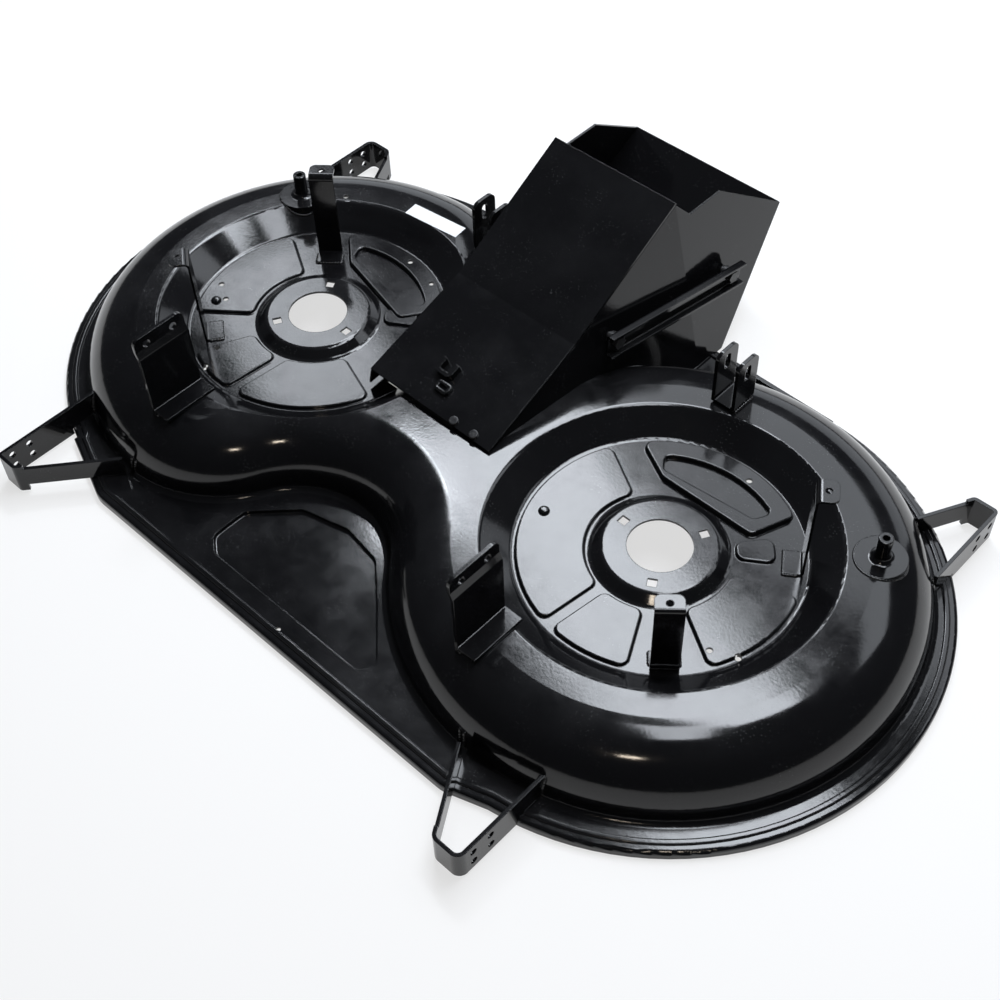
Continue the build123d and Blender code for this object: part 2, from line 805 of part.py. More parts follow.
with BuildPart() as chute_cover:
    lap_y = cover_bend[0] + cover_lap
    lap_z = between(cover_front, cover_bend, lap_y)
    add(flat_plate(
        (
            cover_right_front,
            fold_start,
            fold_mid,
            cover_left_bend,
            (cover_left_x, lap_y, lap_z),
            (cover_right_x, lap_y, lap_z),
        ),
        -sheet,
    ))
    add(flat_plate((cover_right_bend, cover_left_bend, cover_left_rear, cover_right_rear), -sheet))
    add(flat_plate((fold_start, cover_left_front, fold_mid), -sheet))
    add(flat_plate((fold_mid, cover_left_front, cover_left_bend), -sheet))
    with BuildSketch(facet_plane):
        with Locations(*rivet_marks):
            Circle(rivet_r + gap)
    extrude(amount=-2 * sheet, both=True, mode=Mode.SUBTRACT)
chute_cover.part.label = "chute_cover"
export_step(chute_cover.part, "parts/chute_cover.step")

with BuildPart() as chute_duct:
    rear_crest = cover_rear[1] - duct_drop
    mouth_top = (cover_rear[0], rear_crest)
    mouth_foot = (cover_rear[0], duct_foot_z)
    mouth = (mouth_top, duct_notch, duct_ear, duct_lip, duct_heel, mouth_foot)
    add(duct_wall(1, (cover_front[0], cover_corner_z), cover_bend, cover_lap))
    add(duct_wall(-1, cover_front, cover_bend, cover_lap))
    for side in (1, -1):
        add(duct_wall(side, cover_bend, cover_rear, 0))
        add(flat_plate([duct_point(side, y, z, rear_crest) for y, z in mouth], side * sheet))
    floor_corners = ((1, duct_heel), (1, duct_lip), (-1, duct_lip), (-1, duct_heel))
    add(flat_plate([duct_point(side, y, z, rear_crest, sheet / 2) for side, (y, z) in floor_corners], sheet))
    add(shell_clear, mode=Mode.SUBTRACT)
    with BuildSketch(brace_face):
        with Locations(*brace_bolt_marks):
            Circle(brace_bolt_r + gap)
    extrude(amount=-2 * brace_bolt_reach, mode=Mode.SUBTRACT)
chute_duct.part.label = "chute_duct"
export_step(chute_duct.part, "parts/chute_duct.step")

with BuildPart() as chute_brace:
    half = brace_web / 2
    path = ((brace_flange, half), (0, half), (0, -half), (brace_flange, -half))
    strip = strip_section(brace_section, path, brace_bend_r, sheet, Side.LEFT)
    extrude(strip, amount=brace_length)
    with BuildSketch(brace_face):
        with Locations(*brace_bolt_marks):
            Circle(brace_bolt_r + gap)
    extrude(amount=2 * sheet, both=True, mode=Mode.SUBTRACT)
chute_brace.part.label = "chute_brace"
export_step(chute_brace.part, "parts/chute_brace.step")

with BuildPart() as brace_bolts:
    with BuildSketch(brace_face.offset(sheet)):
        with Locations(*brace_bolt_marks):
            RegularPolygon(brace_bolt_head_r, 6)
    extrude(amount=brace_bolt_head)
    with BuildSketch(brace_face.offset(sheet)):
        with Locations(*brace_bolt_marks):
            Circle(brace_bolt_r)
    extrude(amount=-brace_bolt_reach)
    # Collar that holds the strut off the wall
    with BuildSketch(brace_face.offset(-gap)):
        with Locations(*brace_bolt_marks):
            Circle(brace_spacer_r)
    extrude(amount=-brace_spacer)
    add(chute_duct.part, mode=Mode.SUBTRACT)
brace_bolts.part.label = "brace_bolts"
export_step(brace_bolts.part, "parts/brace_bolts.step")

with BuildPart() as spring_hook:
    hook_plane = Plane(
        origin=(*hook_place, cover_top(hook_place[1])),
        x_dir=(1, 0, 0),
        z_dir=plate_top_plane.z_dir,
    )
    half = hook_width / 2
    path = ((-half, hook_length), (-half, 0), (half, 0), (half, hook_length))
    extrude(strip_section(hook_plane, path, hook_bend_r, hook_strip, Side.LEFT), amount=hook_height)
spring_hook.part.label = "spring_hook"
export_step(spring_hook.part, "parts/spring_hook.step")

with BuildPart() as cover_rivets:
    with BuildSketch(facet_plane):
        with Locations(*rivet_marks):
            Circle(rivet_head_r)
    extrude(amount=rivet_head)
    fillet(cover_rivets.edges().group_by(Axis((0, 0, 0), facet_plane.z_dir))[-1], rivet_edge_r)
    with BuildSketch(facet_plane):
        with Locations(*rivet_marks):
            Circle(rivet_r)
    extrude(amount=-rivet_reach)
cover_rivets.part.label = "cover_rivets"
export_step(cover_rivets.part, "parts/cover_rivets.step")

with BuildPart() as front_wheel_bracket_left:
    add(wheel_bracket(front_left_bracket))
front_wheel_bracket_left.part.label = "front_wheel_bracket_left"
export_step(front_wheel_bracket_left.part, "parts/front_wheel_bracket_left.step")

with BuildPart() as front_wheel_bracket_right:
    add(wheel_bracket(front_right_bracket))
front_wheel_bracket_right.part.label = "front_wheel_bracket_right"
export_step(front_wheel_bracket_right.part, "parts/front_wheel_bracket_right.step")

with BuildPart() as rear_wheel_bracket_left:
    add(wheel_bracket(rear_left_bracket))
rear_wheel_bracket_left.part.label = "rear_wheel_bracket_left"
export_step(rear_wheel_bracket_left.part, "parts/rear_wheel_bracket_left.step")

with BuildPart() as rear_wheel_bracket_right:
    add(wheel_bracket(rear_right_bracket))
rear_wheel_bracket_right.part.label = "rear_wheel_bracket_right"
export_step(rear_wheel_bracket_right.part, "parts/rear_wheel_bracket_right.step")

with BuildPart() as belt_guard_left_front:
    add(belt_guard(left_x, guard_left_front, -1))
belt_guard_left_front.part.label = "belt_guard_left_front"
export_step(belt_guard_left_front.part, "parts/belt_guard_left_front.step")

with BuildPart() as belt_guard_left_rear:
    add(belt_guard(left_x, guard_left_rear, 1))
belt_guard_left_rear.part.label = "belt_guard_left_rear"
export_step(belt_guard_left_rear.part, "parts/belt_guard_left_rear.step")

with BuildPart() as belt_guard_right_front:
    add(belt_guard(right_x, guard_right_front, 1))
belt_guard_right_front.part.label = "belt_guard_right_front"
export_step(belt_guard_right_front.part, "parts/belt_guard_right_front.step")

with BuildPart() as belt_guard_right_rear:
    add(belt_guard(right_x, guard_right_rear, 1))
belt_guard_right_rear.part.label = "belt_guard_right_rear"
export_step(belt_guard_right_rear.part, "parts/belt_guard_right_rear.step")

with BuildPart() as front_lift_bracket_left:
    add(lift_bracket(lift_left_x))
front_lift_bracket_left.part.label = "front_lift_bracket_left"
export_step(front_lift_bracket_left.part, "parts/front_lift_bracket_left.step")

with BuildPart() as front_lift_bracket_right:
    add(lift_bracket(lift_right_x))
front_lift_bracket_right.part.label = "front_lift_bracket_right"
export_step(front_lift_bracket_right.part, "parts/front_lift_bracket_right.step")

with BuildPart() as rear_lift_clevis_left:
    add(lift_clevis(clevis_left_place))
rear_lift_clevis_left.part.label = "rear_lift_clevis_left"
export_step(rear_lift_clevis_left.part, "parts/rear_lift_clevis_left.step")

with BuildPart() as rear_lift_clevis_right:
    add(lift_clevis(clevis_right_place))
rear_lift_clevis_right.part.label = "rear_lift_clevis_right"
export_step(rear_lift_clevis_right.part, "parts/rear_lift_clevis_right.step")

with BuildPart() as post_left:
    add(round_post(post_left_place))
post_left.part.label = "post_left"
export_step(post_left.part, "parts/post_left.step")

with BuildPart() as post_right:
    add(round_post(post_right_place))
post_right.part.label = "post_right"
export_step(post_right.part, "parts/post_right.step")

with BuildPart() as rear_rail_left:
    add(rear_rail(rail_left_ends))
rear_rail_left.part.label = "rear_rail_left"
export_step(rear_rail_left.part, "parts/rear_rail_left.step")

with BuildPart() as rear_rail_right:
    add(rear_rail(rail_right_ends))
rear_rail_right.part.label = "rear_rail_right"
export_step(rear_rail_right.part, "parts/rear_rail_right.step")

with BuildPart() as label:
    with BuildSketch(Plane.XY.offset(crown_z)):
        with Locations(Location(label_place, label_turn)):
            Rectangle(label_length, label_width)
    extrude(amount=label_thick)
label.part.label = "label"
export_step(label.part, "parts/label.step")
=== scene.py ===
"""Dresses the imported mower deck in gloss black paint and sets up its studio."""

import logging
import math
from dataclasses import dataclass
from enum import Enum

import bpy
from mathutils import Matrix, Vector
from mathutils.bvhtree import BVHTree


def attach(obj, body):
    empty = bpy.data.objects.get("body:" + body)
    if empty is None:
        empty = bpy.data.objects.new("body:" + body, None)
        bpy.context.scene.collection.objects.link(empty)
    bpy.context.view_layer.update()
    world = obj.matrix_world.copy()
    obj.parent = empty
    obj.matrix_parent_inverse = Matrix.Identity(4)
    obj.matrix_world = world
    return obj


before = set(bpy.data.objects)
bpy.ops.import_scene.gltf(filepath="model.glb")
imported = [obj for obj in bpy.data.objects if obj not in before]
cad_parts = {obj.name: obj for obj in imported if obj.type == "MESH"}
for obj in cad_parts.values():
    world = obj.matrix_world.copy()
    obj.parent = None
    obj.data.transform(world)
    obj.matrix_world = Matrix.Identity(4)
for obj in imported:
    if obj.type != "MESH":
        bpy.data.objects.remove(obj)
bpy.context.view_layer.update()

BODY = "root"
LOG = logging.getLogger("mower_deck")

Socket = bpy.types.NodeSocket
Colour = tuple[float, float, float]
Spot = tuple[float, float, float]
Plan = tuple[float, float]


class Slot(Enum):
    """Material slots of the deck."""

    PAINT = "black_paint"
    FASTENER = "black_fastener"
    LABEL = "label_paper"


class Rule(Enum):
    """Ways to join two numbers in a shader graph."""

    ADD = "ADD"
    TIMES = "MULTIPLY"
    BELOW = "LESS_THAN"


@dataclass(frozen=True)
class Patches:
    """Noise over an object: waves per metre, finer layers and their share, and the range that counts."""

    scale: float
    detail: float
    rough: float
    low: float
    high: float


@dataclass(frozen=True)
class Relief:
    """Fine unevenness of a surface: waves per metre, finer layers, strength, and height in metres."""

    scale: float
    detail: float
    strength: float
    height: float


class Graph:
    """Shader graph of one material, with short calls for the nodes that the finishes use."""

    level_from = 0.75
    even_share = 0.5
    bevel_samples = 4

    def __init__(self, name: str) -> None:
        """Start an empty graph with a Principled shader.

        Args:
            name: name of the material.
        """
        self.material = bpy.data.materials.new(name)
        self.material.use_nodes = True
        self.tree = self.material.node_tree
        self.tree.nodes.clear()
        self.output = self.add("ShaderNodeOutputMaterial")
        self.shader = self.add("ShaderNodeBsdfPrincipled")
        self.link(self.shader.outputs["BSDF"], self.output.inputs["Surface"])
        self.place = self.add("ShaderNodeTexCoord").outputs["Object"]

    def add(self, kind: str, **values: object) -> bpy.types.Node:
        """Add a node.

        Args:
            kind: Blender's name of the node type.
            values: properties to set on it.

        Returns:
            The new node.
        """
        node = self.tree.nodes.new(kind)
        for key, value in values.items():
            setattr(node, key, value)
        return node

    def link(self, source: Socket, target: Socket) -> None:
        """Join two sockets."""
        self.tree.links.new(source, target)

    def feed(self, socket: Socket, value: object) -> None:
        """Link a socket to another, or set its number.

        Args:
            socket: socket to feed.
            value: other socket, or the number.
        """
        if isinstance(value, Socket):
            self.link(value, socket)
        else:
            socket.default_value = value

    def noise(self, scale: float, detail: float, rough: float) -> Socket:
        """Smooth noise over the object.

        Args:
            scale: waves per metre.
            detail: number of finer layers.
            rough: share of the finer layers.

        Returns:
            The value socket, 0 to 1.
        """
        node = self.add("ShaderNodeTexNoise")
        self.link(self.place, node.inputs["Vector"])
        node.inputs["Scale"].default_value = scale
        node.inputs["Detail"].default_value = detail
        node.inputs["Roughness"].default_value = rough
        return node.outputs["Fac"]

    def cells(self, scale: float) -> Socket:
        """Distance from the middle of the nearest cell.

        Args:
            scale: cells per metre.

        Returns:
            The distance socket.
        """
        node = self.add("ShaderNodeTexVoronoi", feature="F1")
        self.link(self.place, node.inputs["Vector"])
        node.inputs["Scale"].default_value = scale
        return node.outputs["Distance"]

    def join(self, rule: Rule, one: object, two: object) -> Socket:
        """Join two numbers by a rule, held between 0 and 1.

        Args:
            rule: how they are joined.
            one: first number or socket.
            two: second number or socket.

        Returns:
            The result's socket.
        """
        node = self.add("ShaderNodeMath", operation=rule.value, use_clamp=True)
        self.feed(node.inputs[0], one)
        self.feed(node.inputs[1], two)
        return node.outputs[0]

    def span(
        self, value: Socket, low: float, high: float, to_low: float = 0.0, to_high: float = 1.0
    ) -> Socket:
        """Map a range of values onto another.

        Args:
            value: socket to map.
            low: value that becomes to_low.
            high: value that becomes to_high.
            to_low: lower end of the result.
            to_high: upper end of the result.

        Returns:
            The mapped socket.
        """
        node = self.add("ShaderNodeMapRange")
        self.link(value, node.inputs["Value"])
        for key, number in (("From Min", low), ("From Max", high), ("To Min", to_low), ("To Max", to_high)):
            node.inputs[key].default_value = number
        return node.outputs["Result"]

    def patches(self, areas: Patches, to_low: float = 0.0, to_high: float = 1.0) -> Socket:
        """Noise whose range is mapped onto another.

        Args:
            areas: the noise and its range.
            to_low: lower end of the result.
            to_high: upper end of the result.

        Returns:
            The mapped socket.
        """
        value = self.noise(areas.scale, areas.detail, areas.rough)
        return self.span(value, areas.low, areas.high, to_low, to_high)

    def mix(self, share: Socket, base: Colour | Socket, top: Colour) -> Socket:
        """Lay one colour over another.

        Args:
            share: how much of the top colour shows.
            base: colour below.
            top: colour above.

        Returns:
            The mixed colour's socket.
        """
        node = self.add("ShaderNodeMix", data_type="RGBA")
        factor, lower, upper = node.inputs[0], node.inputs[6], node.inputs[7]
        self.link(share, factor)
        self.feed(lower, base if isinstance(base, Socket) else (*base, 1.0))
        self.feed(upper, (*top, 1.0))
        return node.outputs[2]

    def upward(self) -> Socket:
        """How far the surface faces up.

        Returns:
            The socket, 0 for walls and 1 for level faces.
        """
        split = self.add("ShaderNodeSeparateXYZ")
        self.link(self.add("ShaderNodeNewGeometry").outputs["Normal"], split.inputs[0])
        return self.span(split.outputs["Z"], self.level_from, 1.0)

    def relief(self, form: Relief, below: Socket | None = None) -> Socket:
        """Fine relief of a surface.

        Args:
            form: the relief.
            below: normal that the relief is laid on.

        Returns:
            The normal's socket.
        """
        height = self.noise(form.scale, form.detail, self.even_share)
        node = self.add("ShaderNodeBump")
        node.inputs["Strength"].default_value = form.strength
        node.inputs["Distance"].default_value = form.height
        self.link(height, node.inputs["Height"])
        if below is not None:
            self.link(below, node.inputs["Normal"])
        return node.outputs["Normal"]

    def soft_edges(self, radius: float) -> Socket:
        """Normal that rounds sharp edges.

        Args:
            radius: radius of the rounding in metres.

        Returns:
            The normal's socket.
        """
        node = self.add("ShaderNodeBevel", samples=self.bevel_samples)
        node.inputs["Radius"].default_value = radius
        return node.outputs["Normal"]

    def set(self, **values: object) -> None:
        """Feed the shader's inputs, each named with _ for a space."""
        for key, value in values.items():
            self.feed(self.shader.inputs[key.replace("_", " ")], value)


@dataclass(frozen=True)
class GlossPaint:
    """Gloss black paint on pressed steel: orange peel, slight sheet waves, settled dust and specks."""

    name: str = "deck_gloss_black"
    black: Colour = (0.004, 0.004, 0.0045)
    dust: Colour = (0.13, 0.13, 0.135)
    speck: Colour = (0.30, 0.30, 0.30)
    drift: Patches = Patches(9.0, 5.0, 0.6, 0.42, 0.72)
    dust_share: float = 0.06
    dust_dull: float = 0.05
    speck_cells: float = 420.0
    speck_size: float = 0.12
    speck_areas: Patches = Patches(31.0, 3.0, 0.5, 0.5, 0.7)
    speck_share: float = 0.35
    speck_dull: float = 0.25
    mottle: Patches = Patches(55.0, 4.0, 0.6, 0.3, 0.7)
    gloss_low: float = 0.08
    gloss_high: float = 0.13
    waves: Relief = Relief(11.0, 1.0, 0.18, 0.0012)
    peel: Relief = Relief(330.0, 1.0, 0.10, 0.00025)
    edge_r: float = 0.0011
    shine: float = 0.42

    def build(self) -> bpy.types.Material:
        """Build the material.

        Returns:
            The finished material.
        """
        g = Graph(self.name)
        film = g.join(Rule.TIMES, g.patches(self.drift), g.upward())
        seeds = g.join(Rule.BELOW, g.cells(self.speck_cells), self.speck_size)
        specks = g.join(Rule.TIMES, seeds, g.patches(self.speck_areas))
        colour = g.mix(g.join(Rule.TIMES, film, self.dust_share), self.black, self.dust)
        colour = g.mix(g.join(Rule.TIMES, specks, self.speck_share), colour, self.speck)
        gloss = g.patches(self.mottle, self.gloss_low, self.gloss_high)
        gloss = g.join(Rule.ADD, gloss, g.join(Rule.TIMES, film, self.dust_dull))
        gloss = g.join(Rule.ADD, gloss, g.join(Rule.TIMES, specks, self.speck_dull))
        normal = g.relief(self.peel, g.relief(self.waves, g.soft_edges(self.edge_r)))
        g.set(Base_Color=colour, Roughness=gloss, Normal=normal, Specular_IOR_Level=self.shine)
        return g.material


@dataclass(frozen=True)
class SatinBlack:
    """Blackened steel of the fasteners, a little rubbed in patches."""

    name: str = "fastener_satin_black"
    black: Colour = (0.018, 0.018, 0.019)
    rubbed: Colour = (0.16, 0.155, 0.15)
    rub: Patches = Patches(240.0, 4.0, 0.65, 0.56, 0.74)
    rub_share: float = 0.45
    mottle: Patches = Patches(300.0, 3.0, 0.5, 0.3, 0.7)
    gloss_low: float = 0.26
    gloss_high: float = 0.42
    grain: Relief = Relief(900.0, 2.0, 0.15, 0.0002)
    edge_r: float = 0.0006

    def build(self) -> bpy.types.Material:
        """Build the material.

        Returns:
            The finished material.
        """
        g = Graph(self.name)
        colour = g.mix(g.join(Rule.TIMES, g.patches(self.rub), self.rub_share), self.black, self.rubbed)
        gloss = g.patches(self.mottle, self.gloss_low, self.gloss_high)
        g.set(Base_Color=colour, Roughness=gloss, Normal=g.relief(self.grain, g.soft_edges(self.edge_r)))
        return g.material


@dataclass(frozen=True)
class BlankPaper:
    """Plain white label stock with faint fibres."""

    name: str = "label_blank_paper"
    paper: Colour = (0.62, 0.63, 0.64)
    fibre: Colour = (0.50, 0.51, 0.53)
    fibres: Patches = Patches(700.0, 6.0, 0.7, 0.45, 0.65)
    fibre_share: float = 0.5
    grain: Relief = Relief(1200.0, 3.0, 0.2, 0.0001)
    rough: float = 0.45

    def build(self) -> bpy.types.Material:
        """Build the material.

        Returns:
            The finished material.
        """
        g = Graph(self.name)
        colour = g.mix(g.join(Rule.TIMES, g.patches(self.fibres), self.fibre_share), self.paper, self.fibre)
        g.set(Base_Color=colour, Normal=g.relief(self.grain), Roughness=self.rough)
        return g.material


@dataclass(frozen=True)
class PaleFloor:
    """Matt pale floor of the studio, lifted to white where it is seen, with the shadow kept."""

    name: str = "studio_pale_floor"
    pale: Colour = (0.80, 0.80, 0.80)
    rough: float = 0.9
    shine: float = 0.1
    lift: float = 0.68

    def build(self) -> bpy.types.Material:
        """Build the material.

        Returns:
            The finished material.
        """
        g = Graph(self.name)
        g.set(Base_Color=(*self.pale, 1.0), Roughness=self.rough, Specular_IOR_Level=self.shine)
        rays = g.add("ShaderNodeLightPath")
        seen = g.join(Rule.ADD, rays.outputs["Is Camera Ray"], rays.outputs["Is Glossy Ray"])
        seen = g.join(Rule.ADD, seen, rays.outputs["Is Transmission Ray"])
        white = g.add("ShaderNodeEmission")
        blend = g.add("ShaderNodeMixShader")
        g.link(g.join(Rule.TIMES, seen, self.lift), blend.inputs[0])
        g.link(g.shader.outputs["BSDF"], blend.inputs[1])
        g.link(white.outputs["Emission"], blend.inputs[2])
        g.link(blend.outputs["Shader"], g.output.inputs["Surface"])
        return g.material


@dataclass(frozen=True)
class PaintedWeld:
    """Black paint over a rippled weld, duller than the sheet, with a little grit."""

    name: str = "weld_painted_black"
    black: Colour = (0.005, 0.005, 0.0055)
    grit: Colour = (0.07, 0.06, 0.055)
    gritty: Patches = Patches(420.0, 4.0, 0.6, 0.55, 0.72)
    grit_share: float = 0.5
    mottle: Patches = Patches(260.0, 3.0, 0.5, 0.3, 0.7)
    gloss_low: float = 0.16
    gloss_high: float = 0.30
    grain: Relief = Relief(1400.0, 2.0, 0.25, 0.0002)

    def build(self) -> bpy.types.Material:
        """Build the material.

        Returns:
            The finished material.
        """
        g = Graph(self.name)
        colour = g.mix(g.join(Rule.TIMES, g.patches(self.gritty), self.grit_share), self.black, self.grit)
        gloss = g.patches(self.mottle, self.gloss_low, self.gloss_high)
        g.set(Base_Color=colour, Roughness=gloss, Normal=g.relief(self.grain))
        return g.material


class Finish(Enum):
    """Finishes of the deck's surfaces."""

    GLOSS = GlossPaint()
    WELD = PaintedWeld()
    SATIN = SatinBlack()
    PAPER = BlankPaper()


class Form:
    """Mesh in the making: points and the faces between them."""

    def __init__(self) -> None:
        """Start with nothing."""
        self.points: list[Vector] = []
        self.faces: list[tuple[int, ...]] = []

    def rings(self, rings: list[list[Vector]], closed: bool = False) -> None:
        """Skin a row of rings that have the same number of points.

        Args:
            rings: the rings, from one end to the other.
            closed: whether the last ring joins the first; if not, both ends are capped.
        """
        first = len(self.points)
        count = len(rings[0])
        for ring in rings:
            self.points.extend(ring)
        for row in range(len(rings) if closed else len(rings) - 1):
            near = first + row * count
            far = first + (row + 1) % len(rings) * count
            for side in range(count):
                turn = (side + 1) % count
                self.faces.append((near + side, near + turn, far + turn, far + side))
        if not closed:
            last = first + (len(rings) - 1) * count
            self.faces.append(tuple(reversed(range(first, first + count))))
            self.faces.append(tuple(range(last, last + count)))


class Workshop:
    """Dresses CAD nodes, makes new pieces and measures the shell that they sit on."""

    above_all = 0.3

    def __init__(self) -> None:
        """Build every finish once, and a search tree of the shell."""
        self.materials = {finish: finish.value.build() for finish in Finish}
        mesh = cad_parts["deck_shell"].data
        corners = [vertex.co.copy() for vertex in mesh.vertices]
        self.shell = BVHTree.FromPolygons(corners, [tuple(face.vertices) for face in mesh.polygons])

    def dress(self, node: str, finish: Finish) -> None:
        """Give a CAD node its finish.

        Args:
            node: name of the node.
            finish: finish that it gets.
        """
        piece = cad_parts[node]
        piece.data.materials.clear()
        piece.data.materials.append(self.materials[finish])
        LOG.info("%s: dressed, %s", node, finish.name.lower())

    def piece(self, name: str, form: Form, finish: Finish, slot: Slot) -> bpy.types.Object:
        """Make a new piece that rides on the deck.

        Args:
            name: name of the piece.
            form: its mesh.
            finish: finish that it gets.
            slot: material slot that the finish belongs to; not used.

        Returns:
            The new object.
        """
        mesh = bpy.data.meshes.new(name)
        mesh.from_pydata(form.points, [], form.faces)
        mesh.polygons.foreach_set("use_smooth", [True] * len(mesh.polygons))
        mesh.materials.append(self.materials[finish])
        mesh.update()
        made = bpy.data.objects.new(name, mesh)
        bpy.context.scene.collection.objects.link(made)
        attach(made, BODY)
        LOG.info("%s: built, %d faces", name, len(form.faces))
        return made

    def on_shell(self, x: float, y: float) -> Vector:
        """Point of the shell's top straight below a place in plan."""
        hit = self.shell.ray_cast(Vector((x, y, self.above_all)), Vector((0, 0, -1)))[0]
        return hit if hit is not None else Vector((x, y, 0.0))

    def beside_shell(self, start: Vector, way: Vector) -> Vector | None:
        """Point where a line from outside first meets the shell."""
        return self.shell.ray_cast(start, way.normalized())[0]


@dataclass(frozen=True)
class WeldBead:
    """Rippled bead of weld along a line."""

    radius: float = 0.0024
    pitch: float = 0.0034
    ripple: float = 0.17
    sides: int = 10
    rings_per_ripple: int = 5
    tip: float = 0.12
    lean: float = 0.3
    off_plumb: Spot = (0.13, 0.21, 0.97)

    def lay(self, form: Form, line: list[Vector]) -> None:
        """Lay one bead.

        Args:
            form: mesh that takes the bead.
            line: points that the bead follows.
        """
        step = self.pitch / self.rings_per_ripple
        path = self.even_points(line, step)
        if len(path) < 2 * self.rings_per_ripple:
            return
        rings = []
        for index, point in enumerate(path):
            ahead = path[min(index + 1, len(path) - 1)] - path[max(index - 1, 0)]
            along = ahead.normalized()
            side = along.cross(Vector(self.off_plumb)).normalized()
            rise = side.cross(along)
            run = min(index, len(path) - 1 - index) * step
            end = min(1.0, run / self.radius)
            wave = abs(math.sin(math.pi * index / self.rings_per_ripple))
            radius = self.radius * (1 - self.ripple * wave) * max(self.tip, math.sqrt(end * (2 - end)))
            lean = along * (self.lean * self.pitch)
            ring = []
            for turn in range(self.sides):
                angle = math.tau * turn / self.sides
                out = side * math.cos(angle) + rise * math.sin(angle)
                ring.append(point + out * radius - lean * math.cos(angle) ** 2 * end)
            rings.append(ring)
        form.rings(rings)

    def even_points(self, line: list[Vector], step: float) -> list[Vector]:
        """Points at even steps along a line.

        Args:
            line: corners of the line.
            step: distance between two points.

        Returns:
            The points, from the first corner on.
        """
        points = [line[0].copy()]
        left = step
        for start, end in zip(line, line[1:]):
            length = (end - start).length
            place = left
            while place <= length:
                points.append(start.lerp(end, place / length))
                place += step
            left = place - length
        return points


@dataclass
class DeckShell:
    """Pressed shell with its rear rails and the lugs pressed in the dome floors."""

    nodes: tuple[str, ...] = ("deck_shell", "rear_rail_left", "rear_rail_right")
    lug_places: tuple[Plan, ...] = ((0.133, -0.041), (-0.356, -0.062))
    lug_r: float = 0.0062
    lug_rise: float = 0.0042
    lug_sink: float = 0.0004
    lug_taper: float = 0.62
    lug_curve: float = 1.6
    lug_sides: int = 32
    lug_rows: int = 7

    def build_lugs(self, shop: Workshop) -> None:
        """Make the small round lugs.

        Args:
            shop: makes the piece.
        """
        form = Form()
        turns = [math.tau * side / self.lug_sides for side in range(self.lug_sides)]
        for x, y in self.lug_places:
            foot = shop.on_shell(x, y)
            rings = []
            for row in range(self.lug_rows):
                share = row / (self.lug_rows - 1)
                radius = self.lug_r * (1 - self.lug_taper * share**self.lug_curve)
                rise = self.lug_rise * math.sin(share * math.pi / 2) - self.lug_sink
                rings.append([
                    foot + Vector((radius * math.cos(turn), radius * math.sin(turn), rise)) for turn in turns
                ])
            form.rings(rings)
        shop.piece("floor_lugs", form, Finish.GLOSS, Slot.PAINT)

    def build(self, shop: Workshop) -> None:
        """Dress the shell and add its lugs.

        Args:
            shop: dresses the nodes and makes the piece.
        """
        for node in self.nodes:
            shop.dress(node, Finish.GLOSS)
        self.build_lugs(shop)


@dataclass
class DischargeChute:
    """Chute with its cover, strut, hook and fasteners."""

    nodes: tuple[str, ...] = ("chute_cover", "chute_duct", "chute_brace", "spring_hook")
    fasteners: tuple[str, ...] = ("brace_bolts", "cover_rivets")
    hook_place: Spot = (-0.048, 0.0, 0.09745)
    plate_tilt: float = 17.4
    eye_offset: Plan = (0.010, -0.0095)
    eye_length: float = 0.019
    eye_width: float = 0.013
    eye_strip: float = 0.0042
    eye_height: float = 0.0052
    eye_edge: float = 0.0007
    eye_corner_r: float = 0.0035
    eye_least_r: float = 0.0006
    eye_corner_steps: int = 6

    def eye_ring(self, inset: float, height: float) -> list[Vector]:
        """Rounded rectangle of the eye on the cover's plate.

        Args:
            inset: distance inside the outer edge.
            height: height above the plate.

        Returns:
            The points of the ring.
        """
        tilt = math.radians(self.plate_tilt)
        rise = Vector((0, math.cos(tilt), math.sin(tilt)))
        out = Vector((0, -math.sin(tilt), math.cos(tilt)))
        radius = max(self.eye_least_r, self.eye_corner_r - inset)
        half_x = self.eye_length / 2 - inset - radius
        half_y = self.eye_width / 2 - inset - radius
        points = []
        for corner in range(4):
            sign_x = 1 if corner in (0, 3) else -1
            sign_y = 1 if corner in (0, 1) else -1
            for step in range(self.eye_corner_steps + 1):
                angle = math.radians(90 * (corner + step / self.eye_corner_steps))
                x = self.eye_offset[0] + sign_x * half_x + radius * math.cos(angle)
                y = self.eye_offset[1] + sign_y * half_y + radius * math.sin(angle)
                points.append(Vector(self.hook_place) + Vector((x, 0, 0)) + rise * y + out * height)
        return points

    def build_eye(self, shop: Workshop) -> None:
        """Make the small eye in front of the hook.

        Args:
            shop: makes the piece.
        """
        shoulder = self.eye_height - self.eye_edge
        section = (
            (0.0, 0.0),
            (0.0, shoulder),
            (self.eye_edge, self.eye_height),
            (self.eye_strip - self.eye_edge, self.eye_height),
            (self.eye_strip, shoulder),
            (self.eye_strip, 0.0),
        )
        form = Form()
        form.rings([self.eye_ring(inset, height) for inset, height in section], closed=True)
        shop.piece("hook_eye", form, Finish.GLOSS, Slot.PAINT)

    def build(self, shop: Workshop) -> None:
        """Dress the chute and its fasteners, and add the eye.

        Args:
            shop: dresses the nodes and makes the piece.
        """
        for node in self.nodes:
            shop.dress(node, Finish.GLOSS)
        for node in self.fasteners:
            shop.dress(node, Finish.SATIN)
        self.build_eye(shop)


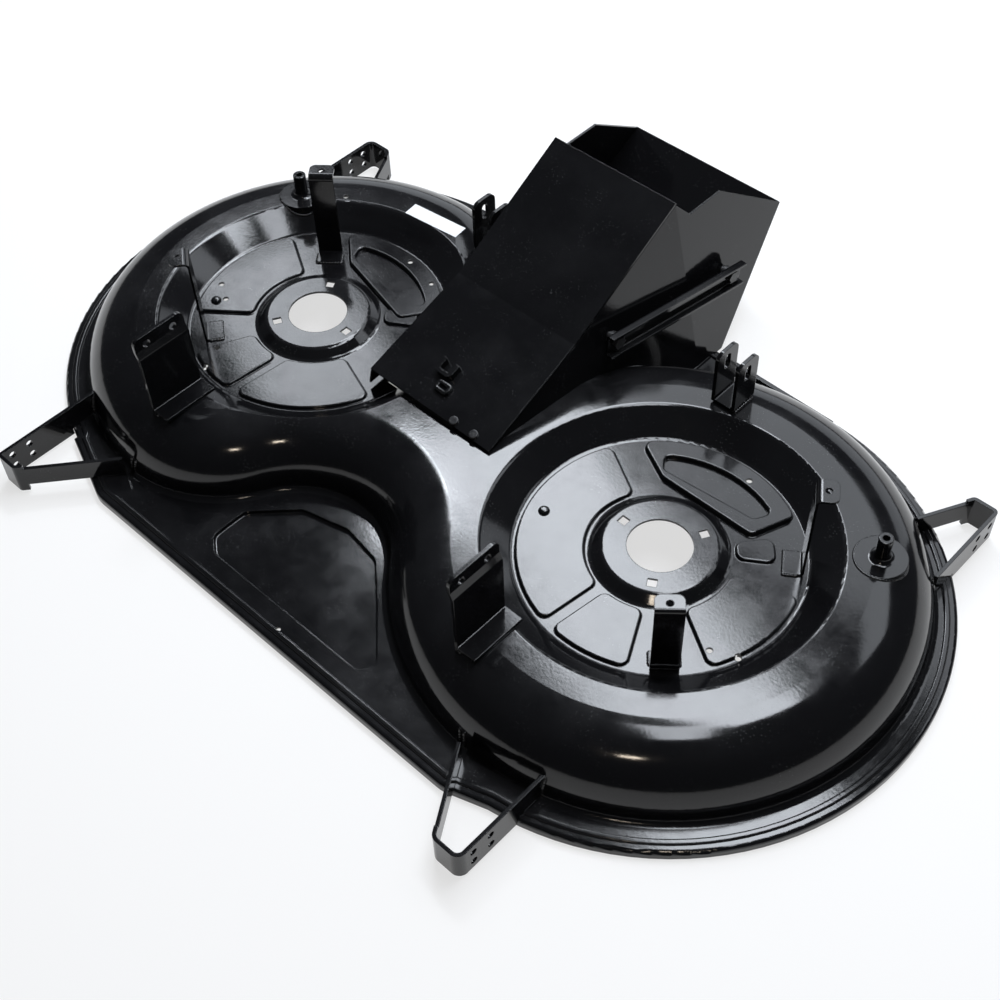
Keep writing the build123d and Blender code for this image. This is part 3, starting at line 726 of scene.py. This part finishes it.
@dataclass
class WheelBrackets:
    """Bent strip brackets of the wheels, welded to the flange and to the wall."""

    corners: tuple[tuple[str, tuple[Plan, ...]], ...] = (
        (
            "front_wheel_bracket_left",
            ((0.325, -0.240), (0.325, -0.364), (0.298, -0.364), (0.247, -0.280)),
        ),
        (
            "front_wheel_bracket_right",
            ((-0.367, -0.230), (-0.367, -0.364), (-0.338, -0.364), (-0.264, -0.276)),
        ),
        (
            "rear_wheel_bracket_left",
            ((0.466, 0.168), (0.466, 0.281), (0.437, 0.281), (0.406, 0.222)),
        ),
        (
            "rear_wheel_bracket_right",
            ((-0.456, 0.168), (-0.456, 0.276), (-0.427, 0.276), (-0.397, 0.218)),
        ),
    )
    strip: float = 0.004
    plate_low: float = 0.013
    plate_high: float = 0.0385
    arm_low: float = 0.0145
    arm_high: float = 0.0345
    stand_off: float = 0.0004
    line_steps: int = 14
    longest_line: float = 0.12
    bead: WeldBead = WeldBead()

    def wall_line(self, shop: Workshop, start: Vector, way: Vector, low: float, high: float) -> list[Vector]:
        """Line up the shell's wall where a strip meets it.

        Args:
            shop: measures the shell.
            start: place of the strip outside the shell.
            way: direction of the strip towards the shell.
            low: lower end of the line.
            high: upper end of the line.

        Returns:
            Points of the line.
        """
        points = []
        for step in range(self.line_steps + 1):
            height = low + (high - low) * step / self.line_steps
            hit = shop.beside_shell(Vector((start.x, start.y, height)), way)
            if hit is not None:
                points.append(hit)
        return points

    def build_welds(self, shop: Workshop, node: str, corners: tuple[Plan, ...]) -> None:
        """Weld both ends of one bracket.

        Args:
            shop: makes the piece.
            node: name of the bracket.
            corners: its corners in plan, from the long plate round to the arm.
        """
        plate, corner, web, arm = (Vector((*place, 0.0)) for place in corners)
        ends = (
            (corner, plate, self.plate_low, self.plate_high),
            (web, arm, self.arm_low, self.arm_high),
        )
        form = Form()
        for outer, inner, low, high in ends:
            way = (inner - outer).normalized()
            turned = Vector((-way.y, way.x, 0.0))
            left = turned if outer == web else -turned
            for shift in (-self.stand_off, self.strip + self.stand_off):
                line = self.wall_line(shop, outer + left * shift, way, low, high)
                if len(line) > 2 and (line[0] - line[-1]).length < self.longest_line:
                    self.bead.lay(form, line)
        if form.faces:
            shop.piece(f"weld_{node}", form, Finish.WELD, Slot.PAINT)

    def build(self, shop: Workshop) -> None:
        """Dress the brackets and weld them on.

        Args:
            shop: dresses the nodes and makes the welds.
        """
        for node, corners in self.corners:
            shop.dress(node, Finish.GLOSS)
            self.build_welds(shop, node, corners)


@dataclass
class LiftPoints:
    """Front lift plates and rear clevises, welded to the crown."""

    plates: tuple[tuple[str, float], ...] = (
        ("front_lift_bracket_left", 0.192),
        ("front_lift_bracket_right", -0.256),
    )
    plate_y: float = -0.197
    plate_half: float = 0.031
    strip: float = 0.004
    lap: float = 0.001
    clevises: tuple[tuple[str, float, float], ...] = (
        ("rear_lift_clevis_left", 0.188, 0.193),
        ("rear_lift_clevis_right", -0.168, 0.203),
    )
    clevis_half_width: float = 0.0145
    clevis_half_depth: float = 0.016
    seam_steps: int = 24
    sink: float = 0.0004
    bead: WeldBead = WeldBead(radius=0.0028)

    def seam(self, shop: Workshop, start: Plan, end: Plan) -> list[Vector]:
        """Line on the shell between two places in plan.

        Args:
            shop: measures the shell.
            start: first place.
            end: last place.

        Returns:
            Points of the line.
        """
        points = []
        for step in range(self.seam_steps + 1):
            share = step / self.seam_steps
            point = shop.on_shell(
                start[0] + (end[0] - start[0]) * share,
                start[1] + (end[1] - start[1]) * share,
            )
            points.append(point - Vector((0, 0, self.sink)))
        return points

    def build_plate_welds(self, shop: Workshop, node: str, x: float) -> None:
        """Weld one lift plate along both faces of its skirt and across its front.

        Args:
            shop: makes the piece.
            node: name of the plate.
            x: place of the plate.
        """
        form = Form()
        front, rear = self.plate_y - self.plate_half, self.plate_y + self.plate_half
        for face in (x, x + self.strip):
            self.bead.lay(form, self.seam(shop, (face, front), (face, rear)))
        across = front - self.lap
        self.bead.lay(form, self.seam(shop, (x - self.lap, across), (x + self.strip + self.lap, across)))
        shop.piece(f"weld_{node}", form, Finish.WELD, Slot.PAINT)

    def build_clevis_welds(self, shop: Workshop, node: str, x: float, y: float) -> None:
        """Weld one clevis along the sides of its foot.

        Args:
            shop: makes the piece.
            node: name of the clevis.
            x: place of the clevis.
            y: place of the clevis.
        """
        form = Form()
        front, rear = y - self.clevis_half_depth, y + self.clevis_half_depth
        for edge in (x - self.clevis_half_width, x + self.clevis_half_width):
            self.bead.lay(form, self.seam(shop, (edge, front), (edge, rear)))
        shop.piece(f"weld_{node}", form, Finish.WELD, Slot.PAINT)

    def build(self, shop: Workshop) -> None:
        """Dress the lift points and weld them on.

        Args:
            shop: dresses the nodes and makes the welds.
        """
        for node, x in self.plates:
            shop.dress(node, Finish.GLOSS)
            self.build_plate_welds(shop, node, x)
        for node, x, y in self.clevises:
            shop.dress(node, Finish.GLOSS)
            self.build_clevis_welds(shop, node, x, y)


@dataclass
class BeltGuards:
    """Upright straps on the dome floors, each welded round its foot."""

    places: tuple[tuple[str, float, float, float], ...] = (
        ("belt_guard_left_front", 0.343, -0.106, -49.0),
        ("belt_guard_left_rear", 0.3655, 0.0805, 34.9),
        ("belt_guard_right_front", -0.328, -0.103, -127.2),
        ("belt_guard_right_rear", -0.322, 0.086, 130.0),
    )
    half_width: float = 0.0145
    strap: float = 0.004
    foot: float = 0.020
    floor_z: float = 0.0571
    bead: WeldBead = WeldBead(radius=0.0021)

    def build_weld(self, shop: Workshop, node: str, x: float, y: float, heading: float) -> None:
        """Weld one guard round three sides of its foot.

        Args:
            shop: makes the piece.
            node: name of the guard.
            x: place of the guard.
            y: place of the guard.
            heading: way that the guard faces, in degrees.
        """
        turn = math.radians(heading)
        out = Vector((math.cos(turn), math.sin(turn), 0.0))
        side = Vector((-out.y, out.x, 0.0))
        heel = Vector((x, y, self.floor_z)) - out * self.strap
        toe = Vector((x, y, self.floor_z)) - out * self.foot
        form = Form()
        self.bead.lay(form, [
            heel + side * self.half_width,
            toe + side * self.half_width,
            toe - side * self.half_width,
            heel - side * self.half_width,
        ])
        shop.piece(f"weld_{node}", form, Finish.WELD, Slot.PAINT)

    def build(self, shop: Workshop) -> None:
        """Dress the guards and weld them on.

        Args:
            shop: dresses the nodes and makes the welds.
        """
        for node, x, y, heading in self.places:
            shop.dress(node, Finish.GLOSS)
            self.build_weld(shop, node, x, y, heading)


@dataclass
class CoverPosts:
    """Short posts on the domes, each welded round its pad."""

    places: tuple[tuple[str, float, float], ...] = (
        ("post_left", 0.4235, 0.121),
        ("post_right", -0.4025, 0.116),
    )
    pad_r: float = 0.0262
    steps: int = 72
    bead: WeldBead = WeldBead(radius=0.0016, pitch=0.0028)

    def build_weld(self, shop: Workshop, node: str, x: float, y: float) -> None:
        """Weld one post round its pad.

        Args:
            shop: makes the piece.
            node: name of the post.
            x: place of the post.
            y: place of the post.
        """
        line = []
        for step in range(self.steps + 1):
            turn = math.tau * step / self.steps
            line.append(shop.on_shell(x + self.pad_r * math.cos(turn), y + self.pad_r * math.sin(turn)))
        form = Form()
        self.bead.lay(form, line)
        shop.piece(f"weld_{node}", form, Finish.WELD, Slot.PAINT)

    def build(self, shop: Workshop) -> None:
        """Dress the posts and weld them on.

        Args:
            shop: dresses the nodes and makes the welds.
        """
        for node, x, y in self.places:
            shop.dress(node, Finish.GLOSS)
            self.build_weld(shop, node, x, y)


@dataclass
class BlankLabel:
    """Plain paper label on the crown."""

    node: str = "label"

    def build(self, shop: Workshop) -> None:
        """Dress the label."""
        shop.dress(self.node, Finish.PAPER)


@dataclass(frozen=True)
class Softbox:
    """Rectangular lamp that faces a point."""

    name: str
    place: Spot
    aim: Spot
    width: float
    height: float
    radiance: float
    tint: Colour
    along: Spot

    def build(self) -> bpy.types.Object:
        """Make the lamp.

        Returns:
            The lamp's object.
        """
        data = bpy.data.lights.new(self.name, "AREA")
        data.shape = "RECTANGLE"
        data.size = self.width
        data.size_y = self.height
        data.energy = self.radiance * self.width * self.height * math.pi
        data.color = self.tint
        lamp = bpy.data.objects.new(self.name, data)
        back = (Vector(self.place) - Vector(self.aim)).normalized()
        up = back.cross(Vector(self.along)).normalized()
        right = up.cross(back)
        lamp.matrix_world = Matrix.Translation(self.place) @ Matrix((right, up, back)).transposed().to_4x4()
        lamp.visible_camera = False
        bpy.context.scene.collection.objects.link(lamp)
        return lamp


@dataclass
class Studio:
    """Pale floor, soft lamps and the camera."""

    camera_place: Spot = (0.7888, -0.7552, 1.2508)
    camera_aim: Spot = (0.09329, -0.06345, 0.066)
    camera_roll: float = -2.43
    focal_mm: float = 54.73
    sensor_mm: float = 36.0
    clip_near: float = 0.05
    clip_far: float = 400.0
    floor_size: float = 200.0
    floor_drop: float = 0.0005
    ceiling: float = 2.0
    sky: Colour = (0.88, 0.93, 1.0)
    warm: Colour = (1.0, 0.86, 0.70)
    world_tint: Colour = (0.85, 0.9, 1.0)
    world_level: float = 0.06

    def build_camera(self) -> None:
        """Make the camera and use it for the picture."""
        data = bpy.data.cameras.new("studio_camera")
        data.sensor_width = self.sensor_mm
        data.lens = self.focal_mm
        data.clip_start = self.clip_near
        data.clip_end = self.clip_far
        camera = bpy.data.objects.new("studio_camera", data)
        back = (Vector(self.camera_place) - Vector(self.camera_aim)).normalized()
        level = Vector((0, 0, 1)).cross(back).normalized()
        rise = back.cross(level)
        roll = math.radians(self.camera_roll)
        right = level * math.cos(roll) + rise * math.sin(roll)
        up = rise * math.cos(roll) - level * math.sin(roll)
        turn = Matrix((right, up, back)).transposed().to_4x4()
        camera.matrix_world = Matrix.Translation(self.camera_place) @ turn
        bpy.context.scene.collection.objects.link(camera)
        bpy.context.scene.camera = camera

    def build_floor(self) -> None:
        """Make the floor under the rim."""
        half = self.floor_size / 2
        mesh = bpy.data.meshes.new("studio_floor")
        corners = [(-half, -half, 0), (half, -half, 0), (half, half, 0), (-half, half, 0)]
        mesh.from_pydata(corners, [], [(0, 1, 2, 3)])
        mesh.materials.append(PaleFloor().build())
        floor = bpy.data.objects.new("studio_floor", mesh)
        floor.location.z = -self.floor_drop
        bpy.context.scene.collection.objects.link(floor)

    def overhead(self, name: str, spot: Plan, size: Plan, radiance: float, along: Spot) -> Softbox:
        """Softbox under the ceiling that faces straight down.

        Args:
            name: name of the lamp.
            spot: place in plan.
            size: width and height of the box.
            radiance: brightness of its face.
            along: way that its width runs.

        Returns:
            The softbox, not yet made.
        """
        return Softbox(name, (*spot, self.ceiling), (*spot, 0.0), *size, radiance, self.sky, along)

    def lamps(self) -> tuple[Softbox, ...]:
        """Every lamp: strips that the domes mirror, two faint panels behind, and a warm one in front.

        Returns:
            The softboxes, not yet made.
        """
        return (
            self.overhead("roof_strip", (-0.30, 0.90), (2.1, 0.46), 17.0, (0.94, -0.34, 0.0)),
            self.overhead("brow_strip", (0.40, 0.12), (0.75, 0.36), 12.0, (0.71, -0.71, 0.0)),
            self.overhead("crown_lamp", (-1.12, 1.02), (0.48, 0.28), 42.0, (0.92, 0.385, 0.0)),
            self.overhead("far_strip", (-1.95, 1.15), (0.8, 0.40), 9.0, (0.94, -0.34, 0.0)),
            Softbox(
                "back_panel", place=(-0.2, 1.75, 2.0), aim=(-0.3, 0.6, 0.0), width=3.4, height=0.6,
                radiance=3.0, tint=self.sky, along=(1.0, 0.0, 0.0),
            ),
            Softbox(
                "back_wall", place=(-1.2, 3.2, 0.9), aim=(-0.2, 0.0, 0.1), width=5.0, height=1.3,
                radiance=1.3, tint=self.sky, along=(1.0, 0.3, 0.0),
            ),
            Softbox(
                "front_lamp", place=(1.2, -1.6, 2.2), aim=(0.2, -0.1, 0.06), width=0.30, height=0.12,
                radiance=40.0, tint=self.warm, along=(1.0, 1.0, 0.0),
            ),
        )

    def build_world(self) -> None:
        """Make the dim world round the studio."""
        world = bpy.data.worlds.new("studio_world")
        world.use_nodes = True
        backdrop = world.node_tree.nodes["Background"]
        backdrop.inputs["Color"].default_value = (*self.world_tint, 1.0)
        backdrop.inputs["Strength"].default_value = self.world_level
        bpy.context.scene.world = world

    def build(self) -> None:
        """Set up the camera, floor, lamps, world and colour view."""
        self.build_camera()
        self.build_floor()
        for lamp in self.lamps():
            lamp.build()
        self.build_world()
        bpy.context.scene.view_settings.view_transform = "Standard"


def main() -> None:
    """Build the studio and the deck's sub-assemblies in order."""
    logging.basicConfig(level=logging.INFO, format="%(message)s")
    Studio().build()
    shop = Workshop()
    for sub_assembly in (
        DeckShell(), DischargeChute(), WheelBrackets(), LiftPoints(), BeltGuards(), CoverPosts(), BlankLabel()
    ):
        sub_assembly.build(shop)


if __name__ == "__main__":
    main()
